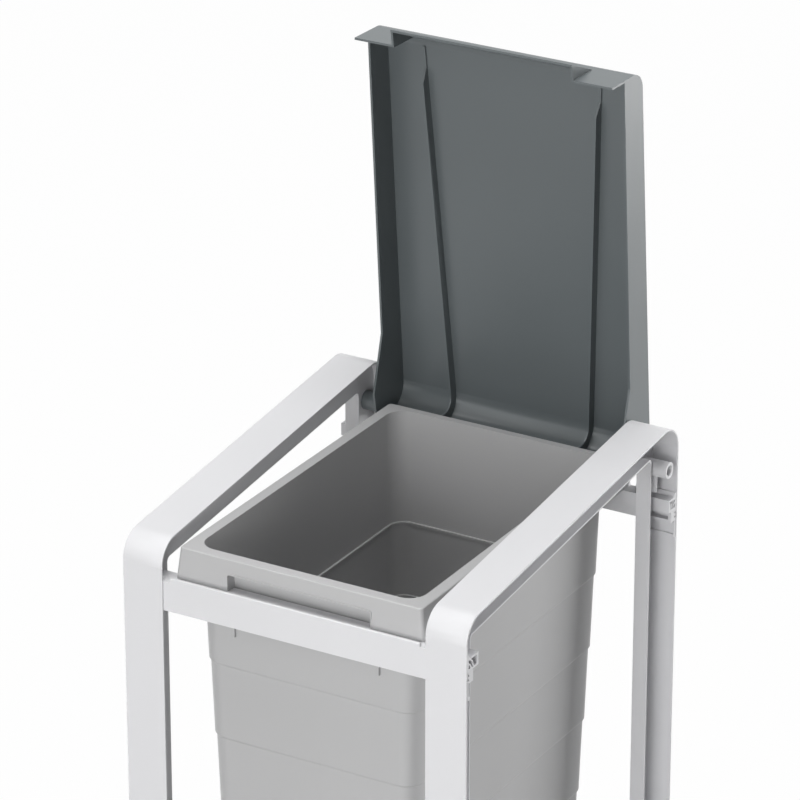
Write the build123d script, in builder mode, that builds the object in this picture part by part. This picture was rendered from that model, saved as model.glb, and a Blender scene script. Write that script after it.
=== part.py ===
"""Free-standing leg frame with a lift-out bin and a hinged lid, shown open.

Millimetres, +Z up. The origin is on the floor, in the middle of the frame's width, halfway between
the frame's front face and the rearmost point of the open lid.
"""

import math
import os

from build123d import *

# Whole object
rim_height = 650.0
band_width = 49.6
beam_rise_share = 0.108
beam_lift = 5.5
overrun = 20.0
fit_gap = 0.3
pin_gap = 0.05

# Side frames: an edge band round a web, with an inner flange
band_wall = 2.4
corner_radius = 30.0
flange_inset = 36.0
flange_wall = 2.0
flange_reach = 18.0
flange_radius = 6.0
web_back = 16.0
web_wall = 2.0
boss_radius = 9.5
boss_rib_wall = 2.4
boss_rib_drop = 30.0
foot_height = 5.0

# Crossbars
bar_drop = 33.0
bar_height = 40.0
bar_wall = 2.4
ledge_drop = 4.5
front_ledge_depth = 23.0
rear_ledge_depth = 17.0
bar_lip_height = 15.0
bar_rib_wall = 2.0
bar_rib_pitch = 53.0
bar_rib_count = 5
lower_bar_height = 100.0
skirt_notch_width = 8.6
end_rib_wall = 1.5
end_rib_radius = 12.0
end_rib_step = 5.0
peg_hole_radius = 1.5
peg_hole_inset = 10.0

# Locking clips under the crossbar ends
clip_height = 14.0
clip_depth = 12.0
clip_wall = 2.0
clip_window_height = 6.5
tongue_height = 20.0
tongue_wall = 3.0
hook_reach = 2.0
hook_height = 4.0
clip_hole_width = 2.4
clip_hole_pitch = 5.3

# Bin
rim_width = 300.0
rim_length = 445.0
rim_setback = 15.4
rim_rear_setback = 15.0
rim_radius = 5.0
skirt_flare = 4.4
skirt_flare_ends = 2.3
bin_wall = 1.8
bin_height = 590.0
opening_side_setback = 13.8
opening_setback = 13.4
opening_rear_setback = 9.8
opening_radius = 21.0
draft_share = 0.028
corner_draft_share = 0.25
step_in = 1.45
step_height = 3.0
first_step_drop = 136.0
last_step_rise = 90.0
step_count = 5
grip_width = 177.0
grip_drop = 17.5
grip_bead = 1.5
grip_radius = 4.0
gusset_wall = 2.9
gusset_drop = 97.7
gusset_gap = 0.4
guide_notch_depth = 4.0

# Lid, set out in the closed position round the hinge axis
open_angle = 91.5
hinge_inset = 20.5
lid_wall = 2.5
lid_bin_gap = 3.1
lid_frame_gap = 3.0
lid_height = 53.0
lid_rear_radius = 30.0
lid_front_radius = 22.0
lid_curl_height = 10.5
apron_gap = 0.5
apron_drop = 65.0
hood_half = 112.4
hood_start_drop = 22.0
hood_lip_reach = 18.4
hood_lip_drop = 69.0
skirt_edge_rear = 9.3
skirt_flank_back = 85.0
skirt_heel_back = 15.6
skirt_heel_drop = 16.5
lobe_radius = 13.0
barrel_radius = 11.25
barrel_end_gap = 0.5
rib_start = 88.5
rib_spread_share = 0.0505
rib_height = 12.0
rib_wall = 2.5
rib_end_slope = 16.0
low_rib_height = 2.0
low_rib_length = 25.0
rib_front_gap = 19.4

# Hinge pins
pin_radius = 5.0
pin_head_radius = 5.9
pin_head_length = 6.0
boss_bore_radius = 6.0
boss_seat_depth = 9.0

# Feet
foot_width = 40.0
foot_length = 60.0
foot_chamfer = 6.0
foot_setback = 45.0
plug_width = 7.0
plug_reach = 2.0

# Places worked out from the sizes above
beam_angle = math.degrees(math.atan(beam_rise_share))
rise_stretch = math.hypot(1, beam_rise_share)
frame_depth = rim_setback + rim_length + rim_rear_setback
hinge_back = frame_depth - hinge_inset
lid_half = rim_width / 2 + skirt_flare + lid_bin_gap + lid_wall
frame_half = lid_half + lid_frame_gap + band_width
opening_width = rim_width - opening_side_setback * 2
opening_length = rim_length - opening_setback - opening_rear_setback
rear_wall_out = hinge_inset
lid_front = hinge_back + apron_gap
lid_arc_y = rear_wall_out - lid_rear_radius
lid_arc_z = lid_height + lid_arc_y * beam_rise_share - lid_rear_radius * rise_stretch
turn = math.radians(open_angle)
lid_reach = lid_arc_y * math.cos(turn) + lid_arc_z * math.sin(turn) + lid_rear_radius
front_y = -(hinge_back + lid_reach) / 2
rear_y = front_y + frame_depth
hinge_y = front_y + hinge_back
rim_front_y = front_y + rim_setback
rim_middle_y = rim_front_y + rim_length / 2
body_middle_y = rim_front_y + opening_setback + opening_length / 2
band_inner_x = frame_half - band_width
web_x = band_inner_x + web_back
beam_front_z = rim_height + beam_lift - beam_rise_share * rim_setback
bar_tuck = band_wall
lower_bar_top = foot_height + lower_bar_height
bar_tip = frame_half - fit_gap


def loop_points(inset):
    """Corners of a side frame's loop, moved inwards all round."""
    low = foot_height + inset
    top = beam_front_z - inset * rise_stretch
    return [
        (front_y + inset, low),
        (rear_y - inset, low),
        (rear_y - inset, top + beam_rise_share * (frame_depth - inset)),
        (front_y + inset, top + beam_rise_share * inset),
    ]


def loop_ring(start_x, width, outer_inset, inner_inset):
    """One closed band of the side frame, between two insets."""
    with BuildSketch(Plane.YZ.offset(start_x)) as ring:
        for inset, mode in ((outer_inset, Mode.ADD), (inner_inset, Mode.SUBTRACT)):
            with BuildSketch(Plane.YZ, mode=Mode.PRIVATE) as one:
                Polygon(*loop_points(inset), align=None)
                fillet(one.vertices(), max(corner_radius - inset, flange_radius))
            add(one.sketch_local, mode=mode)
    extrude(ring.sketch, amount=width)


def bar_profile(depth, height):
    """Section of a crossbar: front wall, ledge and rear lip, from its outer top corner."""
    return [
        (0, -height),
        (bar_wall, -height),
        (bar_wall, -ledge_drop - bar_wall),
        (depth - bar_wall, -ledge_drop - bar_wall),
        (depth - bar_wall, -bar_lip_height - ledge_drop),
        (depth, -bar_lip_height - ledge_drop),
        (depth, -ledge_drop),
        (bar_wall + ledge_drop / 2, -ledge_drop),
        (bar_wall, 0),
        (0, 0),
    ]


def bar_plane(facing, top, start_x=0):
    """Plane across a crossbar: local X runs inwards from its outer face."""
    face_y = front_y + bar_tuck + fit_gap / 2 if facing > 0 else rear_y - bar_tuck - fit_gap / 2
    return Plane(origin=(start_x, face_y, top), x_dir=(0, facing, 0), z_dir=(facing, 0, 0))


bars = [
    ("crossbar_front_upper", 1, rim_height - bar_drop, front_ledge_depth),
    ("crossbar_rear_upper", -1, rim_height - bar_drop, rear_ledge_depth),
    ("crossbar_front_lower", 1, lower_bar_top, front_ledge_depth),
    ("crossbar_rear_lower", -1, lower_bar_top, rear_ledge_depth),
]

# Side frames
with BuildPart() as side_frame_right:
    loop_ring(band_inner_x, band_width, 0, band_wall)
    loop_ring(web_x, web_wall, band_wall / 2, flange_inset)
    loop_ring(web_x, flange_reach, flange_inset - flange_wall, flange_inset)
    with BuildSketch(Plane.YZ.offset(web_x)):
        with Locations((hinge_y, rim_height)):
            Circle(boss_radius)
    extrude(amount=frame_half - web_x - fit_gap)
    with BuildSketch(Plane.YZ.offset(web_x)):
        with Locations((hinge_y, rim_height)):
            Rectangle(boss_rib_wall, boss_rib_drop, align=(Align.CENTER, Align.MAX))
    extrude(amount=flange_reach)
    with BuildSketch(Plane.YZ.offset(web_x)):
        with Locations((hinge_y, rim_height)):
            Circle(pin_radius + pin_gap)
    extrude(amount=frame_half - web_x, mode=Mode.SUBTRACT)
    with BuildSketch(Plane.YZ.offset(web_x + boss_seat_depth)):
        with Locations((hinge_y, rim_height)):
            Circle(boss_bore_radius)
    extrude(amount=frame_half - web_x, mode=Mode.SUBTRACT)
    for bar_name, facing, top, depth in bars:
        with BuildSketch(bar_plane(facing, top, web_x - overrun)):
            with Locations((-fit_gap / 2, fit_gap)):
                Rectangle(depth + fit_gap * 3 / 2, bar_height + fit_gap * 2, align=(Align.MIN, Align.MAX))
        extrude(amount=facing * (web_wall + overrun), mode=Mode.SUBTRACT)
    for setback in (foot_setback, frame_depth - foot_setback):
        with BuildSketch(Plane.XY):
            with Locations((band_inner_x + band_width / 2, front_y + setback)):
                Rectangle(plug_width + fit_gap * 2, plug_width + fit_gap * 2)
        extrude(amount=foot_height + band_wall + overrun / 2, mode=Mode.SUBTRACT)
side_frame_right.part.label = "side_frame_right"

with BuildPart() as side_frame_left:
    mirror(side_frame_right.part, about=Plane.YZ)
side_frame_left.part.label = "side_frame_left"

# Crossbars
crossbars = []
for bar_name, facing, top, depth in bars:
    with BuildPart() as crossbar:
        with BuildSketch(bar_plane(facing, top)):
            Polygon(*bar_profile(depth, bar_height), align=None)
        extrude(amount=bar_tip, both=True)
        upright = crossbar.edges().filter_by(Axis.X).group_by(Axis.Z)[-1]
        fillet(upright.sort_by(Axis.Y)[0 if facing > 0 else -1], bar_wall / 2)
        # Ribs under the ledge
        rib_span = depth - bar_wall * 3 / 2
        for index in range(bar_rib_count):
            rib_x = (index - (bar_rib_count - 1) / 2) * bar_rib_pitch
            with BuildSketch(bar_plane(facing, top, rib_x)):
                with Locations((bar_wall / 2, -ledge_drop - bar_wall / 2)):
                    Rectangle(rib_span, bar_lip_height, align=(Align.MIN, Align.MAX))
            extrude(amount=bar_rib_wall / 2, both=True)
        # Plain box ends, open outwards, with two curved ribs
        for side in (-1, 1):
            end_x = side * (web_x - fit_gap)
            end_length = bar_tip - web_x + fit_gap
            with BuildSketch(bar_plane(facing, top, end_x)):
                with Locations((0, -ledge_drop)):
                    Rectangle(depth, bar_lip_height, align=(Align.MIN, Align.MAX))
                with Locations((bar_wall, -ledge_drop - bar_wall)):
                    Rectangle(
                        depth - bar_wall * 2,
                        bar_lip_height - bar_wall * 2,
                        align=(Align.MIN, Align.MAX),
                        mode=Mode.SUBTRACT,
                    )
            extrude(amount=facing * side * end_length)
            with BuildSketch(bar_plane(facing, top, end_x)):
                for turn_index in (0, 1):
                    radius = end_rib_radius - turn_index * end_rib_step
                    with Locations((bar_wall / 2, -ledge_drop - bar_lip_height + bar_wall)):
                        Circle(radius)
                        Circle(radius - end_rib_wall, mode=Mode.SUBTRACT)
                with Locations((bar_wall / 2, -ledge_drop - bar_wall / 2)):
                    Rectangle(
                        depth - bar_wall,
                        bar_lip_height - bar_wall,
                        align=(Align.MIN, Align.MAX),
                        mode=Mode.INTERSECT,
                    )
            extrude(amount=facing * side * end_length)
        # Behind the web the front wall stops short, so that a clip fits under the end
        for side in (-1, 1):
            with BuildSketch(bar_plane(facing, top, side * (web_x + web_wall))):
                with Locations((-overrun, -ledge_drop - bar_lip_height)):
                    Rectangle(overrun * 2, bar_height, align=(Align.MIN, Align.MAX))
            extrude(amount=facing * side * frame_half, mode=Mode.SUBTRACT)
        # Notches in the lip for the lid's skirts
        for side in (-1, 1):
            with BuildSketch(bar_plane(facing, top, side * (lid_half - lid_wall / 2))):
                with Locations((-overrun, -ledge_drop)):
                    Rectangle(
                        overrun + bar_wall + ledge_drop,
                        ledge_drop + overrun,
                        align=(Align.MIN, Align.MIN),
                    )
            extrude(amount=skirt_notch_width / 2, both=True, mode=Mode.SUBTRACT)
            with BuildSketch(Plane.XY.offset(top + overrun)):
                inward = front_y + peg_hole_inset + bar_wall
                hole_y = inward if facing > 0 else rear_y - peg_hole_inset - bar_wall
                with Locations((side * (band_inner_x + peg_hole_inset), hole_y)):
                    Circle(peg_hole_radius)
            extrude(amount=-(overrun + ledge_drop + bar_wall * 2), mode=Mode.SUBTRACT)
        # Guide notches for the bin's gussets
        if bar_name == "crossbar_front_upper":
            for side in (-1, 1):
                with BuildSketch(bar_plane(facing, top, side * (grip_width + gusset_wall) / 2)):
                    with Locations((depth - guide_notch_depth, 0)):
                        Rectangle(overrun, bar_height * 2, align=(Align.MIN, Align.CENTER))
                extrude(amount=gusset_wall / 2 + fit_gap * 2, both=True, mode=Mode.SUBTRACT)
    crossbar.part.label = bar_name
    crossbars.append(crossbar.part)

# Locking clips, one under each crossbar end
clips = []
for bar_name, facing, top, depth in bars:
    for side, side_name in ((-1, "left"), (1, "right")):
        clip_x = side * (web_x + web_wall + fit_gap)
        clip_length = bar_tip - web_x - web_wall - fit_gap
        clip_top = top - ledge_drop - bar_lip_height - fit_gap
        reach = facing * side * clip_length
        with BuildPart() as clip:
            with BuildSketch(bar_plane(facing, clip_top, clip_x)):
                Rectangle(clip_depth, clip_height, align=(Align.MIN, Align.MAX))
                Rectangle(tongue_wall, clip_height + tongue_height, align=(Align.MIN, Align.MAX))
                with Locations((0, -clip_height - tongue_height)):
                    Rectangle(tongue_wall + hook_reach, hook_height, align=(Align.MIN, Align.MIN))
            extrude(amount=reach)
            # Window through the inward face into a hollow
            with BuildSketch(bar_plane(facing, clip_top - clip_height / 2, clip_x)):
                with Locations((clip_wall * 2, 0)):
                    Rectangle(clip_depth, clip_window_height, align=(Align.MIN, Align.CENTER))
            extrude(amount=reach - facing * side * clip_wall * 2, mode=Mode.SUBTRACT)
            # Two small holes in the open end
            with BuildSketch(bar_plane(facing, clip_top - clip_height / 2, clip_x + side * clip_length)):
                for step in (-1, 1):
                    with Locations((clip_wall, step * clip_hole_pitch / 2)):
                        Rectangle(clip_hole_width, clip_hole_width)
            extrude(amount=-facing * side * clip_length / 2, mode=Mode.SUBTRACT)
        clip.part.label = bar_name.replace("crossbar", "clip") + "_" + side_name
        clips.append(clip.part)


# Bin
def tapered(levels, width, length, radius):
    """Ruled loft down through rounded rectangles; each level gives a drop and an inward shift."""
    sections = []
    for drop, inward in levels:
        with BuildSketch(Plane.XY.offset(rim_height - drop)) as section:
            with Locations((0, body_middle_y)):
                RectangleRounded(
                    width - inward * 2,
                    length - inward * 2,
                    radius - inward * corner_draft_share,
                )
        sections.append(section.sketch)
    return sections


step_pitch = (bin_height - last_step_rise - first_step_drop) / (step_count - 1)
step_drops = [first_step_drop + step_pitch * index for index in range(step_count)]


def wall_levels(start, end, shift):
    """Draft and steps of the bin's wall, as drops with inward shifts."""
    levels = [(start, start * draft_share + shift)]
    steps = 0
    for drop in step_drops:
        levels.append((drop, drop * draft_share + steps * step_in + shift))
        steps += 1
        foot = drop + step_height
        levels.append((foot, foot * draft_share + steps * step_in + shift))
    levels.append((end, end * draft_share + steps * step_in + shift))
    return levels


skirt_drop = bar_drop + ledge_drop - fit_gap
body_front = rim_front_y + opening_setback - bin_wall
grip_half = grip_width / 2
with BuildPart() as bin_body:
    # Rim: flared skirt round a flat top
    with BuildSketch(Plane.XY.offset(rim_height)):
        with Locations((0, rim_middle_y)):
            RectangleRounded(rim_width, rim_length, rim_radius)
    with BuildSketch(Plane.XY.offset(rim_height - skirt_drop)):
        with Locations((0, rim_middle_y)):
            RectangleRounded(rim_width + skirt_flare * 2, rim_length + skirt_flare_ends * 2, rim_radius)
    loft(ruled=True)
    fillet(bin_body.edges().group_by(Axis.Z)[-1], bin_wall)
    with BuildSketch(Plane.XY.offset(rim_height - bin_wall)):
        with Locations((0, rim_middle_y)):
            RectangleRounded(rim_width - bin_wall * 2, rim_length - bin_wall * 2, rim_radius - bin_wall)
    with BuildSketch(Plane.XY.offset(rim_height - skirt_drop)):
        with Locations((0, rim_middle_y)):
            RectangleRounded(
                rim_width + (skirt_flare - bin_wall) * 2,
                rim_length + (skirt_flare_ends - bin_wall) * 2,
                rim_radius - bin_wall,
            )
    loft(ruled=True, mode=Mode.SUBTRACT)
    # Body, gussets and grip walls
    loft(
        tapered(
            wall_levels(0, bin_height, 0),
            opening_width + bin_wall * 2,
            opening_length + bin_wall * 2,
            opening_radius + bin_wall,
        ),
        ruled=True,
    )
    for side in (-1, 1):
        with BuildSketch(Plane.YZ.offset(side * (grip_half + gusset_wall / 2))):
            gusset_front = front_y + bar_tuck + fit_gap / 2 + front_ledge_depth + gusset_gap
            Polygon(
                (gusset_front, rim_height - gusset_drop),
                (body_front + opening_radius, rim_height - gusset_drop),
                (body_front + opening_radius, rim_height - bin_wall / 2),
                (rim_front_y + bin_wall / 2, rim_height - bin_wall / 2),
                (rim_front_y - skirt_flare_ends / 2, rim_height - skirt_drop),
                (gusset_front, rim_height - skirt_drop),
                align=None,
            )
        extrude(amount=gusset_wall / 2, both=True)
    with BuildSketch(Plane.YZ):
        with Locations((rim_front_y, rim_height - grip_drop)):
            Rectangle(
                opening_setback,
                bin_wall,
                align=(Align.MIN, Align.MIN),
            )
    extrude(amount=grip_half + gusset_wall / 2, both=True)
    # Bead round the grip
    with BuildSketch(Plane.XZ.offset(-(rim_front_y + bin_wall / 2))) as bead:
        with Locations((0, rim_height - skirt_drop)):
            Rectangle(
                grip_width + grip_bead * 2,
                skirt_drop - grip_drop + grip_bead,
                align=(Align.CENTER, Align.MIN),
            )
        fillet(bead.vertices().group_by(Axis.Z)[-1], grip_radius)
    extrude(amount=bin_wall / 2 + skirt_flare_ends)
    with BuildSketch(Plane.XZ.offset(-(rim_front_y + bin_wall + skirt_flare_ends))) as mouth:
        with Locations((0, rim_height - skirt_drop - overrun)):
            Rectangle(
                grip_width,
                skirt_drop - grip_drop + overrun,
                align=(Align.CENTER, Align.MIN),
            )
        fillet(mouth.vertices().group_by(Axis.Z)[-1], grip_radius - grip_bead)
    extrude(amount=overrun, mode=Mode.SUBTRACT)
    # Cavity, whose floor is one wall thick
    loft(
        tapered(
            wall_levels(0, bin_height - bin_wall, 0),
            opening_width,
            opening_length,
            opening_radius,
        ),
        ruled=True,
        mode=Mode.SUBTRACT,
    )
bin_body.part.label = "bin"


# Lid
def lid_plane(x=0):
    """Side-view plane of the open lid: local X runs rearwards and local Y upwards when closed."""
    return Plane(
        origin=(x, hinge_y, rim_height),
        x_dir=(0, math.cos(turn), -math.sin(turn)),
        z_dir=(1, 0, 0),
    )


def top_at(back, below=0):
    """Height of the closed lid's top surface, or of one below it, at a place behind the hinge."""
    return lid_height + beam_rise_share * back - below * rise_stretch


def from_hinge(along, up):
    """Point given along the lid from the hinge, and square to it."""
    slant = math.radians(beam_angle)
    return (
        -along * math.cos(slant) - up * math.sin(slant),
        -along * math.sin(slant) + up * math.cos(slant),
    )


def shell_outline(inset, low_rear, low_front):
    """Side-view outline of the lid, moved inwards: flat sketch in closed-lid coordinates."""
    back = rear_wall_out - inset
    front = -lid_front + inset
    with BuildSketch(mode=Mode.PRIVATE) as outline:
        Polygon(
            (front, low_front),
            (0, low_front),
            (0, low_rear),
            (back, low_rear),
            (back, top_at(back, inset)),
            (front, top_at(front, inset)),
            align=None,
        )
        fillet(outline.vertices().sort_by(Axis.Y)[-1], lid_rear_radius - inset)
        fillet(outline.vertices().group_by(Axis.X)[0].sort_by(Axis.Y)[-1], lid_front_radius - inset)
    return outline.sketch


closed_ledge = -(bar_drop + ledge_drop) + fit_gap
half_wall = lid_wall / 2
clear_of_top = lid_height * 2
apron_middle = -lid_front + half_wall
hood_lip_back = -lid_front - hood_lip_reach
low_rib_end = lid_front - rib_front_gap
rib_end = low_rib_end - low_rib_length
rib_slope_start = rib_end - rib_end_slope
with BuildPart() as lid:
    # Top, rear curl and front apron in one bent sheet
    with BuildSketch(lid_plane()):
        add(shell_outline(0, lid_curl_height, -apron_drop))
        add(shell_outline(lid_wall, lid_curl_height, -apron_drop), mode=Mode.SUBTRACT)
    extrude(amount=lid_half, both=True)
    # Grip hood: the middle of the apron flares forward between two end walls
    with BuildSketch(lid_plane()):
        with Locations((-lid_front + half_wall, -hood_start_drop)):
            Rectangle(lid_wall * 2, apron_drop, align=(Align.CENTER, Align.MAX))
    extrude(amount=hood_half, both=True, mode=Mode.SUBTRACT)
    with BuildSketch(lid_plane()):
        Polygon(
            (-lid_front, -hood_start_drop + half_wall),
            (-lid_front, -hood_start_drop),
            (hood_lip_back, -hood_lip_drop),
            (hood_lip_back + lid_wall, -hood_lip_drop),
            (-lid_front + lid_wall, -hood_start_drop),
            (-lid_front + lid_wall, -hood_start_drop + half_wall),
            align=None,
        )
    extrude(amount=hood_half, both=True)
    for side in (-1, 1):
        with BuildSketch(lid_plane(side * (hood_half - half_wall))):
            Polygon(
                (-lid_front + lid_wall, -hood_start_drop),
                (hood_lip_back, -hood_lip_drop),
                (-lid_front + lid_wall, -apron_drop),
                align=None,
            )
        extrude(amount=half_wall, both=True)
    # Side skirts with their heels and hinge lobes
    for side in (-1, 1):
        with BuildSketch(lid_plane(side * (lid_half - half_wall))):
            add(shell_outline(half_wall, -lid_rear_radius, -apron_drop))
            Polygon(
                (apron_middle, closed_ledge),
                from_hinge(skirt_flank_back, skirt_edge_rear),
                (-skirt_heel_back, -skirt_heel_drop),
                (0, -lobe_radius),
                (lobe_radius, 0),
                (rear_wall_out - half_wall, lid_curl_height),
                (rear_wall_out - half_wall, clear_of_top),
                (apron_middle, clear_of_top),
                align=None,
                mode=Mode.INTERSECT,
            )
            Circle(lobe_radius)
        extrude(amount=half_wall, both=True)
        with BuildSketch(lid_plane(side * (lid_half - half_wall))):
            Circle(barrel_radius)
        extrude(amount=side * (web_x - barrel_end_gap - lid_half + half_wall))
        with BuildSketch(lid_plane(side * lid_half)):
            Circle(pin_radius + pin_gap)
        extrude(amount=side * (web_x - lid_half), mode=Mode.SUBTRACT)
    # Stiffening ribs under the top, spreading towards the front
    for side in (-1, 1):
        spread = Vector(1, 0, 0) * side * rib_spread_share
        rib_plane = Plane(
            origin=Vector(side * rib_start, hinge_y, rim_height),
            x_dir=lid_plane().x_dir - spread,
            z_dir=Vector(1, 0, 0) + lid_plane().x_dir * side * rib_spread_share,
        )
        with BuildSketch(rib_plane):
            add(shell_outline(half_wall, lid_curl_height, -apron_drop))
            add(shell_outline(lid_wall + rib_height, lid_curl_height, -apron_drop), mode=Mode.SUBTRACT)
            Polygon(
                (rear_wall_out, lid_curl_height),
                (rear_wall_out, clear_of_top),
                (-low_rib_end, clear_of_top),
                (-low_rib_end, top_at(-low_rib_end, lid_wall + low_rib_height)),
                (-rib_end, top_at(-rib_end, lid_wall + low_rib_height)),
                (-rib_slope_start, top_at(-rib_slope_start, lid_wall + rib_height)),
                (0, lid_curl_height),
                align=None,
                mode=Mode.INTERSECT,
            )
        extrude(amount=rib_wall / 2, both=True)
lid.part.label = "lid"

# Hinge pins, headed in their boss
pins = []
for side, side_name in ((-1, "left"), (1, "right")):
    with BuildPart() as pin:
        with BuildSketch(Plane.YZ.offset(side * (lid_half + fit_gap))):
            with Locations((hinge_y, rim_height)):
                Circle(pin_radius)
        extrude(amount=side * (web_x + boss_seat_depth - lid_half - fit_gap))
        with BuildSketch(Plane.YZ.offset(side * (web_x + boss_seat_depth))):
            with Locations((hinge_y, rim_height)):
                Circle(pin_head_radius)
        extrude(amount=side * pin_head_length)
    pin.part.label = "hinge_pin_" + side_name
    pins.append(pin.part)

# Feet, plugged into the bottom rails
feet = []
for side, side_name in ((-1, "left"), (1, "right")):
    for setback, end_name in ((foot_setback, "front"), (frame_depth - foot_setback, "rear")):
        foot_place = (side * (band_inner_x + band_width / 2), front_y + setback)
        with BuildPart() as foot:
            with BuildSketch(Plane.XY) as pad:
                with Locations(foot_place):
                    Rectangle(foot_width, foot_length)
                chamfer(pad.vertices(), foot_chamfer)
            extrude(amount=foot_height)
            with BuildSketch(Plane.XY.offset(foot_height)):
                with Locations(foot_place):
                    Rectangle(plug_width, plug_width)
            extrude(amount=band_wall + plug_reach)
        foot.part.label = f"foot_{end_name}_{side_name}"
        feet.append(foot.part)

os.makedirs("parts", exist_ok=True)
frames = [side_frame_right.part, side_frame_left.part]
for piece in [*frames, *crossbars, *clips, bin_body.part, lid.part, *pins, *feet]:
    export_step(piece, f"parts/{piece.label}.step")
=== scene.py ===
"""Looks of a free-standing bin frame: moulded leg frames, a lift-out bin and a hinged lid."""

import math

import bmesh
import bpy
from bpy.props import FloatProperty, FloatVectorProperty, PointerProperty
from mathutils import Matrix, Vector


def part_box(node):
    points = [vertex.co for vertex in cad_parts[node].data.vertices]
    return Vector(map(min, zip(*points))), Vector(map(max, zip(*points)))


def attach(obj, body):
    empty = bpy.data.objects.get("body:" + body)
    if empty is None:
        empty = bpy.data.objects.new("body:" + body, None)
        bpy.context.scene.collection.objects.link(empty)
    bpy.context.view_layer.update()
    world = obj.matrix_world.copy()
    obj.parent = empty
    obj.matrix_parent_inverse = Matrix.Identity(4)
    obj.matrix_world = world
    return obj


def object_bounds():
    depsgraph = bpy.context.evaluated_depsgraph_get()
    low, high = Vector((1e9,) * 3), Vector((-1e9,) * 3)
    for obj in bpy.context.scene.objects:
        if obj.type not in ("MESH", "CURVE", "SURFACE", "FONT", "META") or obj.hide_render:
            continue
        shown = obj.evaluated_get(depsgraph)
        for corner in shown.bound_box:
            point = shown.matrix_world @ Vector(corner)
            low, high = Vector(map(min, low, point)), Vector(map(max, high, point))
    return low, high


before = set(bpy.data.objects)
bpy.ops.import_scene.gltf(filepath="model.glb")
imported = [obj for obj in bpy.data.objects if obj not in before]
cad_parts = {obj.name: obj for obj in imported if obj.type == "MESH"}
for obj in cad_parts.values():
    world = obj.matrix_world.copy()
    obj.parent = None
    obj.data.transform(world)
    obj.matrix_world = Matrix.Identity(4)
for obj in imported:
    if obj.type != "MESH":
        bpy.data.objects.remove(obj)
cad_box = [list(corner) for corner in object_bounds()]

bl_info = {
    "name": "Bin frame finishes",
    "version": (1, 0, 0),
    "blender": (4, 5, 0),
    "location": "View3D > Sidebar > Bin frame",
    "description": "Gives a lift-out bin and its leg frame their plastics, light and camera",
    "category": "Object",
}

# The photograph's view, worked out from its straight edges
VIEW_AZIMUTH = 30.31
VIEW_ELEVATION = 23.65
VIEW_PLACE = (2.4510, -4.2194, 2.9017)
VIEW_FOCUS_PIXELS = 4910.0
PHOTO_PIXELS = 800.0
SENSOR_WIDTH = 36.0
FAR_CLIP = 60.0

# Each lamp's name, its power in BinStage, and where it stands: degrees round from the front, and up
LAMPS = (
    ("Front light", "front_power", 9, 5),
    ("Fill light", "fill_power", -25, 35),
    ("Top light", "top_power", 0, 85),
    ("Back light", "back_power", 180, 65),
    ("Edge light", "edge_power", 140, 5),
    ("Side light", "side_power", -95, 3),
)

# Floor, and the share of plain white in what the camera sees of it
FLOOR_COLOUR = (0.45, 0.45, 0.45, 1.0)
FLOOR_ROUGHNESS = 0.9
FLOOR_GLOSS = 0.1
FLOOR_GLOW = 0.985

# Backdrop: white for rays that have been scattered less than once
WHITE = (1.0, 1.0, 1.0, 1.0)
HALF_A_BOUNCE = 0.5

# Moulded plastic: how dense and rough its patterns are, and how far they shift its colour and roughness
FLOW_SCALE, FLOW_DETAIL = 3.5, 3.0
FLOW_DARK, FLOW_LIGHT = 0.975, 1.02
CLOUD_SCALE, CLOUD_DETAIL = 11.0, 4.0
CLOUD_GLOSSIER, CLOUD_DULLER = 0.03, 0.04
GRAIN_DETAIL = 2.0
GRAIN_RELIEF = 1 / 8
PLASTIC_IOR = 1.49

# The band in which most of a noise pattern lies
NOISE_LOW, NOISE_HIGH = 0.3, 0.7

# Depth of each plastic's grain, and how far its flow marks are drawn out upwards: the less, the longer
FRAME_GRAIN, FRAME_FLOW = 0.12, 0.4
CLIP_GRAIN = 0.1
BIN_GRAIN, BIN_FLOW = 0.14, 0.25
LID_GRAIN, LID_FLOW = 0.1, 0.3
PIN_GRAIN = 0.05
EVEN_FLOW = 1.0

# The clips and pins are a little darker than the frame
CLIP_SHADE = 0.97
PIN_SHADE = 0.85
PIN_ROUGHNESS = 0.4

# Rubber: the pits' width in grains, their detail, their shades and their depth
PIT_GRAINS = 3
PIT_DETAIL = 3.0
PIT_DARK, PIT_LIGHT = 0.85, 1.2
PIT_DEPTH = 0.25
PIT_RELIEF = 1 / 4
RUBBER_ROUGHNESS = 0.8
RUBBER_IOR = 1.52

# Rounded edges: the gap that joins a piece's loose triangles, the least angle, and the steps across
SEAM_GAP = 0.000005
EDGE_ANGLE = 40
EDGE_STEPS = 2

# Search for the ledges inside the bin: the share of its height left out at each end, a ledge's greatest
# rise, and the most points of a loop that is no ledge
BIN_END_SHARE = 0.12
LEDGE_RISE_MOST = 0.006
STRAY_POINTS_MOST = 8

# How finely places and heights are told apart, in decimals of a metre and as a length
PLACE_DIGITS = 6
HEIGHT_DIGITS = 4
LEVEL_TOLERANCE = 0.00001
MILLIMETRES_IN_METRE = 1000


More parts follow.
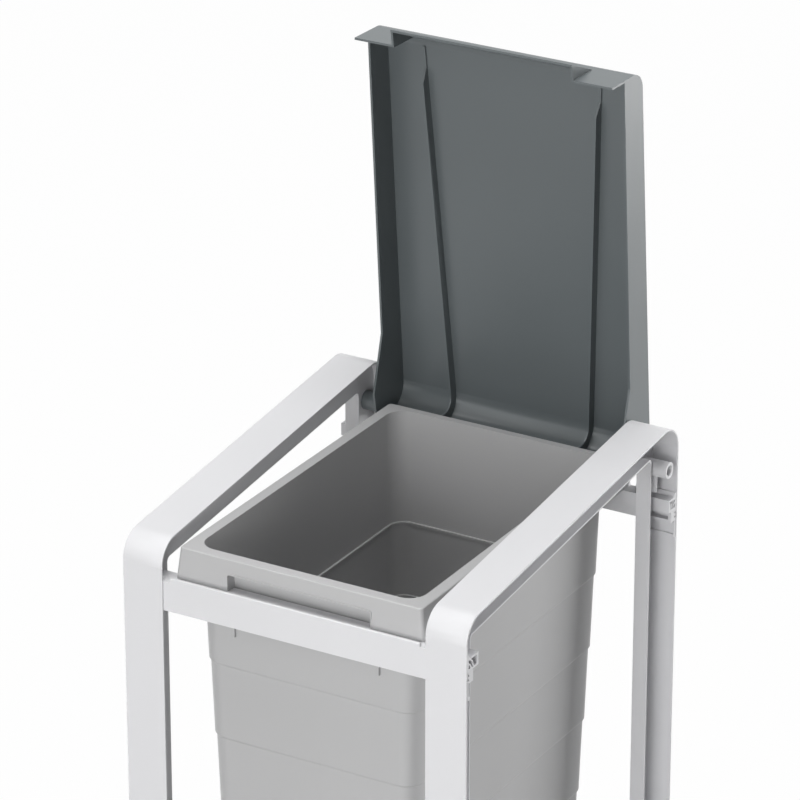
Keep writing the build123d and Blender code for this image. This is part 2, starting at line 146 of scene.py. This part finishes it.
class BinFinish(bpy.types.PropertyGroup):
    """Colours and surface of the moulded plastics."""

    frame_colour: FloatVectorProperty(
        name="Frame colour",
        description="Colour of the leg frames, crossbars and clips",
        subtype="COLOR",
        size=3,
        min=0.0,
        max=1.0,
        default=(0.72, 0.72, 0.735),
    )
    bin_colour: FloatVectorProperty(
        name="Bin colour",
        description="Colour of the lift-out bin",
        subtype="COLOR",
        size=3,
        min=0.0,
        max=1.0,
        default=(0.475, 0.475, 0.478),
    )
    lid_colour: FloatVectorProperty(
        name="Lid colour",
        description="Colour of the lid and its ribs",
        subtype="COLOR",
        size=3,
        min=0.0,
        max=1.0,
        default=(0.124, 0.141, 0.147),
    )
    foot_colour: FloatVectorProperty(
        name="Foot colour",
        description="Colour of the rubber feet",
        subtype="COLOR",
        size=3,
        min=0.0,
        max=1.0,
        default=(0.06, 0.06, 0.062),
    )
    frame_roughness: FloatProperty(
        name="Frame roughness",
        description="How dull the leg frames are",
        min=0.0,
        max=1.0,
        default=0.48,
    )
    bin_roughness: FloatProperty(
        name="Bin roughness",
        description="How dull the bin is",
        min=0.0,
        max=1.0,
        default=0.42,
    )
    lid_roughness: FloatProperty(
        name="Lid roughness",
        description="How dull the lid is",
        min=0.0,
        max=1.0,
        default=0.34,
    )
    grain_size: FloatProperty(
        name="Grain size",
        description="Width of one bump of the mould's fine grain",
        unit="LENGTH",
        min=0.0001,
        max=0.01,
        default=0.0007,
    )
    edge_round: FloatProperty(
        name="Edge rounding",
        description="Width of the rounding along the edges of all pieces but the bin and the pins",
        unit="LENGTH",
        min=0.0,
        max=0.003,
        default=0.0005,
    )
    ledge_lip: FloatProperty(
        name="Ledge lip",
        description="How far each ledge inside the bin stands proud of the wall below it",
        unit="LENGTH",
        min=0.0,
        max=0.002,
        default=0.001,
    )


class BinStage(bpy.types.PropertyGroup):
    """Light, floor and camera."""

    front_power: FloatProperty(
        name="Front light",
        description="Power of the soft lamp low in front",
        unit="POWER",
        min=0.0,
        default=68.0,
    )
    fill_power: FloatProperty(
        name="Fill light",
        description="Power of the weak lamp in front, higher and to the left",
        unit="POWER",
        min=0.0,
        default=15.0,
    )
    top_power: FloatProperty(
        name="Top light",
        description="Power of the soft lamp overhead",
        unit="POWER",
        min=0.0,
        default=75.0,
    )
    back_power: FloatProperty(
        name="Back light",
        description="Power of the lamp high behind the object",
        unit="POWER",
        min=0.0,
        default=21.0,
    )
    edge_power: FloatProperty(
        name="Edge light",
        description="Power of the lamp low behind on the right, which glances off the side faces",
        unit="POWER",
        min=0.0,
        default=80.0,
    )
    side_power: FloatProperty(
        name="Side light",
        description="Power of the soft lamp low on the left",
        unit="POWER",
        min=0.0,
        default=38.0,
    )
    lamp_distance: FloatProperty(
        name="Lamp distance",
        description="How far each lamp stands from the middle of the object",
        unit="LENGTH",
        min=1.0,
        default=3.3,
    )
    lamp_size: FloatProperty(
        name="Lamp size",
        description="Side of each square lamp",
        unit="LENGTH",
        min=0.1,
        default=1.8,
    )
    world_strength: FloatProperty(
        name="World light",
        description="Strength of the even light from all round",
        min=0.0,
        default=0.02,
    )
    floor_size: FloatProperty(
        name="Floor size",
        description="Side of the square floor",
        unit="LENGTH",
        min=1.0,
        default=30.0,
    )


class Nodes:
    """A node tree, with short calls to add and join nodes."""

    def __init__(self, tree):
        self.tree = tree

    def add(self, kind, inputs=None, **values):
        """Adds a node, and sets its own values and then those of its inputs."""
        node = self.tree.nodes.new(kind)
        for key, value in values.items():
            setattr(node, key, value)
        for key, value in (inputs or {}).items():
            node.inputs[key].default_value = value
        return node

    def join(self, output, target):
        """Links a node's output to another node's input."""
        self.tree.links.new(output, target)

    def mix(self, share, first, second):
        """Mixes two shaders by the second one's share."""
        blend = self.add("ShaderNodeMixShader")
        self.join(share, blend.inputs["Fac"])
        self.join(first, blend.inputs[1])
        self.join(second, blend.inputs[2])
        return blend.outputs["Shader"]

    def backdrop_rays(self):
        """1 for the camera's rays and their plain reflections, 0 for all scattered light."""
        path = self.add("ShaderNodeLightPath")
        seen = self.add("ShaderNodeMath", operation="MAXIMUM")
        unscattered = self.add("ShaderNodeMath", {1: HALF_A_BOUNCE}, operation="LESS_THAN")
        both = self.add("ShaderNodeMath", operation="MULTIPLY")
        self.join(path.outputs["Is Camera Ray"], seen.inputs[0])
        self.join(path.outputs["Is Glossy Ray"], seen.inputs[1])
        self.join(path.outputs["Diffuse Depth"], unscattered.inputs[0])
        self.join(seen.outputs["Value"], both.inputs[0])
        self.join(unscattered.outputs["Value"], both.inputs[1])
        return both.outputs["Value"]


class MaterialNodes(Nodes):
    """A new material's nodes, round its main shader."""

    def __init__(self, name):
        self.material = bpy.data.materials.new(name)
        self.material.use_nodes = True
        super().__init__(self.material.node_tree)
        self.shader = self.tree.nodes["Principled BSDF"]

    def set(self, name, value):
        """Gives one of the main shader's inputs a value."""
        self.shader.inputs[name].default_value = value

    def feed(self, name, output):
        """Joins a pattern to one of the main shader's inputs."""
        self.join(output, self.shader.inputs[name])

    def noise(self, scale, detail, flow=EVEN_FLOW):
        """Noise in the object's own space, drawn out upwards where flow is small."""
        place = self.add("ShaderNodeTexCoord")
        mapping = self.add("ShaderNodeMapping", {"Scale": (1.0, 1.0, flow)})
        pattern = self.add("ShaderNodeTexNoise", {"Scale": scale, "Detail": detail})
        self.join(place.outputs["Object"], mapping.inputs["Vector"])
        self.join(mapping.outputs["Vector"], pattern.inputs["Vector"])
        return pattern.outputs["Fac"]

    def between(self, source, low, high):
        """Spreads a noise pattern over a band of values."""
        edges = {"From Min": NOISE_LOW, "From Max": NOISE_HIGH, "To Min": low, "To Max": high}
        band = self.add("ShaderNodeMapRange", edges)
        self.join(source, band.inputs["Value"])
        return band.outputs["Result"]

    def tint(self, source, dark, light):
        """Blends two close colours by a pattern."""
        colours = {"A": (*dark, 1.0), "B": (*light, 1.0)}
        blend = self.add("ShaderNodeMix", colours, data_type="RGBA")
        self.join(source, blend.inputs["Factor"])
        return blend.outputs["Result"]

    def raise_by(self, source, strength, distance):
        """Makes the surface look raised and sunk by a pattern."""
        bump = self.add("ShaderNodeBump", {"Strength": strength, "Distance": distance})
        self.join(source, bump.inputs["Height"])
        self.feed("Normal", bump.outputs["Normal"])


def shade(colour, share):
    """A colour made lighter or darker by a share of itself."""
    return tuple(min(1.0, part * share) for part in colour)


def moulded_plastic(name, colour, roughness, grain_size, grain_depth, flow=EVEN_FLOW):
    """Injection-moulded plastic: fine mould grain, faint flow marks and cloudy gloss."""
    nodes = MaterialNodes(name)
    flow_marks = nodes.between(nodes.noise(FLOW_SCALE, FLOW_DETAIL, flow), 0.0, 1.0)
    nodes.feed("Base Color", nodes.tint(flow_marks, shade(colour, FLOW_DARK), shade(colour, FLOW_LIGHT)))
    clouds = nodes.noise(CLOUD_SCALE, CLOUD_DETAIL)
    nodes.feed("Roughness", nodes.between(clouds, roughness - CLOUD_GLOSSIER, roughness + CLOUD_DULLER))
    nodes.raise_by(nodes.noise(1.0 / grain_size, GRAIN_DETAIL), grain_depth, grain_size * GRAIN_RELIEF)
    nodes.set("IOR", PLASTIC_IOR)
    return nodes.material


def moulded_rubber(name, colour, grain_size):
    """Dull rubber with a slightly pitted face."""
    nodes = MaterialNodes(name)
    pits = nodes.noise(1.0 / (grain_size * PIT_GRAINS), PIT_DETAIL)
    nodes.feed("Base Color", nodes.tint(pits, shade(colour, PIT_DARK), shade(colour, PIT_LIGHT)))
    nodes.raise_by(pits, PIT_DEPTH, grain_size * PIT_RELIEF)
    nodes.set("Roughness", RUBBER_ROUGHNESS)
    nodes.set("IOR", RUBBER_IOR)
    return nodes.material


def named(start):
    """CAD nodes whose names start alike."""
    return sorted(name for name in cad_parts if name.startswith(start))


def dress(names, material, edge_round=0.0):
    """Gives CAD nodes one material and, where a width is given, softly rounded edges."""
    for name in names:
        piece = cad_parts[name]
        piece.data.materials.clear()
        piece.data.materials.append(material)
        if edge_round:
            weld = piece.modifiers.new("Join seams", "WELD")
            weld.merge_threshold = SEAM_GAP
            bevel = piece.modifiers.new("Moulded edge", "BEVEL")
            bevel.width = edge_round
            bevel.segments = EDGE_STEPS
            bevel.limit_method = "ANGLE"
            bevel.angle_limit = math.radians(EDGE_ANGLE)
            bevel.harden_normals = True


def add_object(name, data):
    """Puts a new object into the scene."""
    piece = bpy.data.objects.new(name, data)
    bpy.context.scene.collection.objects.link(piece)
    return piece


def level_loops(mesh, low, high):
    """Closed level loops of a mesh's edges between two heights, each a list of places.

    A CAD node's triangles are loose, so corners that share a place count as one.
    """
    joined = {}
    for edge in mesh.edges:
        corners = [mesh.vertices[index].co for index in edge.vertices]
        start, end = (tuple(round(part, PLACE_DIGITS) for part in corner) for corner in corners)
        if start != end and abs(start[2] - end[2]) < LEVEL_TOLERANCE and low < start[2] < high:
            joined.setdefault(start, set()).add(end)
            joined.setdefault(end, set()).add(start)
    loops = []
    while joined:
        place = next(iter(joined))
        loop = []
        while place in joined:
            loop.append(place)
            place = next((other for other in joined.pop(place) if other in joined), None)
        if len(loop) > STRAY_POINTS_MOST:
            loops.append(loop)
    return loops


def moved_inwards(loop, distance, height):
    """A closed loop moved towards its inside, as places at one height."""
    # The area is negative where the loop runs clockwise, and its inside then lies on the right
    area = sum(a[0] * b[1] - b[0] * a[1] for a, b in zip(loop, loop[1:] + loop[:1]))
    side = math.copysign(1.0, area)
    moved = []
    for index, place in enumerate(loop):
        before, after = Vector(loop[index - 1]), Vector(loop[(index + 1) % len(loop)])
        here = Vector(place)
        along = (here - before).normalized() + (after - here).normalized()
        inwards = Vector((-along.y, along.x, 0.0)).normalized() * side
        moved.append((here.x + inwards.x * distance, here.y + inwards.y * distance, height))
    return moved


def ring_faces(rows, points):
    """Faces between closed rows of points, all of one length, with the last row joined to the first."""
    faces = []
    for row in range(rows):
        here, there = row * points, (row + 1) % rows * points
        for point in range(points):
            after = (point + 1) % points
            faces.append((here + point, here + after, there + after, there + point))
    return faces


def half_width(loop):
    """How far a loop reaches to the right of the object's middle."""
    return max(place[0] for place in loop)


def ledge_ring(name, top, foot, lip, material):
    """Flat top for one ledge inside the bin, whose lip stands a little proud of the wall below."""
    high, low = top[0][2], foot[0][2]
    ledge = half_width(top) - half_width(foot)
    # The section's corners: at the wall above, at the lip's two edges, and at the wall below
    rows = [
        moved_inwards(top, 0.0, high),
        moved_inwards(top, ledge + lip, high),
        moved_inwards(top, ledge + lip, low),
        moved_inwards(top, ledge, low),
    ]
    mesh = bpy.data.meshes.new(name)
    mesh.from_pydata([place for row in rows for place in row], [], ring_faces(len(rows), len(top)))
    shell = bmesh.new()
    shell.from_mesh(mesh)
    bmesh.ops.recalc_face_normals(shell, faces=shell.faces)
    shell.to_mesh(mesh)
    shell.free()
    mesh.materials.append(material)
    ring = add_object(name, mesh)
    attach(ring, "bin")


def ledge_rings(lip, material):
    """A flat top on each ledge inside the bin, between two close level loops of the inner wall."""
    low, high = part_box("bin")
    inset = (high[2] - low[2]) * BIN_END_SHARE
    inner = {}
    for loop in level_loops(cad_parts["bin"].data, low[2] + inset, high[2] - inset):
        level = round(loop[0][2], HEIGHT_DIGITS)
        if level not in inner or half_width(loop) < half_width(inner[level]):
            inner[level] = loop
    levels = sorted(inner)
    for lower, upper in zip(levels, levels[1:]):
        if upper - lower < LEDGE_RISE_MOST:
            name = f"bin_ledge_{round(upper * MILLIMETRES_IN_METRE)}"
            ledge_ring(name, inner[upper], inner[lower], lip, material)


def make_floor(size):
    """Pale plain floor that the camera sees as all but white."""
    half = size / 2
    mesh = bpy.data.meshes.new("Floor")
    corners = [(-half, -half, 0), (half, -half, 0), (half, half, 0), (-half, half, 0)]
    mesh.from_pydata(corners, [], [(0, 1, 2, 3)])
    floor = add_object("Floor", mesh)
    nodes = MaterialNodes("pale floor")
    nodes.set("Base Color", FLOOR_COLOUR)
    nodes.set("Roughness", FLOOR_ROUGHNESS)
    nodes.set("Specular IOR Level", FLOOR_GLOSS)
    glow = nodes.add("ShaderNodeEmission", {"Color": WHITE})
    share = nodes.add("ShaderNodeMath", {1: FLOOR_GLOW}, operation="MULTIPLY")
    nodes.join(nodes.backdrop_rays(), share.inputs[0])
    surface = nodes.mix(share.outputs["Value"], nodes.shader.outputs["BSDF"], glow.outputs["Emission"])
    nodes.join(surface, nodes.tree.nodes["Material Output"].inputs["Surface"])
    mesh.materials.append(nodes.material)


def make_world(strength):
    """Even light all round, and plain white behind the object."""
    world = bpy.data.worlds.new("Studio")
    world.use_nodes = True
    nodes = Nodes(world.node_tree)
    even = nodes.tree.nodes["Background"]
    even.inputs["Color"].default_value = WHITE
    even.inputs["Strength"].default_value = strength
    white = nodes.add("ShaderNodeBackground", {"Color": WHITE, "Strength": 1.0})
    both = nodes.mix(nodes.backdrop_rays(), even.outputs["Background"], white.outputs["Background"])
    nodes.join(both, nodes.tree.nodes["World Output"].inputs["Surface"])
    bpy.context.scene.world = world


def add_area_light(stage, name, power, azimuth, elevation):
    """Square soft lamp that points at the middle of the object, from degrees round and up."""
    low, high = (Vector(corner) for corner in cad_box)
    turn, rise = math.radians(azimuth), math.radians(elevation)
    away = Vector((math.sin(turn) * math.cos(rise), -math.cos(turn) * math.cos(rise), math.sin(rise)))
    data = bpy.data.lights.new(name, "AREA")
    data.size = stage.lamp_size
    data.energy = power
    lamp = add_object(name, data)
    lamp.location = (low + high) / 2 + away * stage.lamp_distance
    lamp.rotation_euler = (-away).to_track_quat("-Z", "Y").to_euler()


def make_camera():
    """Camera at the photograph's viewing angle."""
    data = bpy.data.cameras.new("Camera")
    data.sensor_width = SENSOR_WIDTH
    data.lens = SENSOR_WIDTH * VIEW_FOCUS_PIXELS / PHOTO_PIXELS
    data.clip_end = FAR_CLIP
    camera = add_object("Camera", data)
    camera.location = VIEW_PLACE
    camera.rotation_euler = (math.radians(90 - VIEW_ELEVATION), 0, math.radians(VIEW_AZIMUTH))
    bpy.context.scene.camera = camera


class BINFRAME_OT_frame_finish(bpy.types.Operator):
    """Finish the leg frames, crossbars and their clips"""

    bl_idname = "binframe.frame_finish"
    bl_label = "Finish leg frames"

    def execute(self, context):
        look = context.scene.bin_finish
        roughness, grain_size = look.frame_roughness, look.grain_size
        plastic = moulded_plastic(
            "frame plastic", look.frame_colour, roughness, grain_size, FRAME_GRAIN, FRAME_FLOW
        )
        dress(named("side_frame") + named("crossbar"), plastic, look.edge_round)
        clip_colour = shade(look.frame_colour, CLIP_SHADE)
        clip_plastic = moulded_plastic("clip plastic", clip_colour, roughness, grain_size, CLIP_GRAIN)
        dress(named("clip"), clip_plastic, look.edge_round)
        return {"FINISHED"}


class BINFRAME_OT_bin_finish(bpy.types.Operator):
    """Finish the lift-out bin"""

    bl_idname = "binframe.bin_finish"
    bl_label = "Finish bin"

    def execute(self, context):
        look = context.scene.bin_finish
        plastic = moulded_plastic(
            "bin plastic", look.bin_colour, look.bin_roughness, look.grain_size, BIN_GRAIN, BIN_FLOW
        )
        # The bin's own normals already shade its corners softly and its ledges crisply
        dress(["bin"], plastic)
        ledge_rings(look.ledge_lip, plastic)
        return {"FINISHED"}


class BINFRAME_OT_lid_finish(bpy.types.Operator):
    """Finish the lid with its ribs, skirts and grip hood"""

    bl_idname = "binframe.lid_finish"
    bl_label = "Finish lid"

    def execute(self, context):
        look = context.scene.bin_finish
        plastic = moulded_plastic(
            "lid plastic", look.lid_colour, look.lid_roughness, look.grain_size, LID_GRAIN, LID_FLOW
        )
        dress(["lid"], plastic, look.edge_round)
        return {"FINISHED"}


class BINFRAME_OT_fittings_finish(bpy.types.Operator):
    """Finish the hinge pins and the feet"""

    bl_idname = "binframe.fittings_finish"
    bl_label = "Finish pins and feet"

    def execute(self, context):
        look = context.scene.bin_finish
        pin_colour = shade(look.frame_colour, PIN_SHADE)
        pin_plastic = moulded_plastic("pin plastic", pin_colour, PIN_ROUGHNESS, look.grain_size, PIN_GRAIN)
        dress(named("hinge_pin"), pin_plastic)
        rubber = moulded_rubber("foot rubber", look.foot_colour, look.grain_size)
        dress(named("foot"), rubber, look.edge_round)
        return {"FINISHED"}


class BINFRAME_OT_stage(bpy.types.Operator):
    """Set the floor, the soft light and the camera"""

    bl_idname = "binframe.stage"
    bl_label = "Set stage"

    def execute(self, context):
        stage = context.scene.bin_stage
        make_floor(stage.floor_size)
        make_world(stage.world_strength)
        for name, power, azimuth, elevation in LAMPS:
            add_area_light(stage, name, getattr(stage, power), azimuth, elevation)
        make_camera()
        context.scene.view_settings.view_transform = "Standard"
        return {"FINISHED"}


class BINFRAME_PT_panel(bpy.types.Panel):
    """Lists the finishes and the stage"""

    bl_idname = "BINFRAME_PT_panel"
    bl_label = "Bin frame"
    bl_space_type = "VIEW_3D"
    bl_region_type = "UI"
    bl_category = "Bin frame"

    def draw(self, context):
        for settings in (context.scene.bin_finish, context.scene.bin_stage):
            for name in settings.__annotations__:
                self.layout.prop(settings, name)
        for operator in OPERATORS:
            self.layout.operator(operator.bl_idname)


OPERATORS = (
    BINFRAME_OT_frame_finish,
    BINFRAME_OT_bin_finish,
    BINFRAME_OT_lid_finish,
    BINFRAME_OT_fittings_finish,
    BINFRAME_OT_stage,
)
CLASSES = (BinFinish, BinStage, *OPERATORS, BINFRAME_PT_panel)


def register():
    for one in CLASSES:
        bpy.utils.register_class(one)
    bpy.types.Scene.bin_finish = PointerProperty(type=BinFinish)
    bpy.types.Scene.bin_stage = PointerProperty(type=BinStage)


def unregister():
    del bpy.types.Scene.bin_stage
    del bpy.types.Scene.bin_finish
    for one in reversed(CLASSES):
        bpy.utils.unregister_class(one)


def main():
    register()
    bpy.ops.binframe.frame_finish()
    bpy.ops.binframe.bin_finish()
    bpy.ops.binframe.lid_finish()
    bpy.ops.binframe.fittings_finish()
    bpy.ops.binframe.stage()


if __name__ == "__main__":
    main()
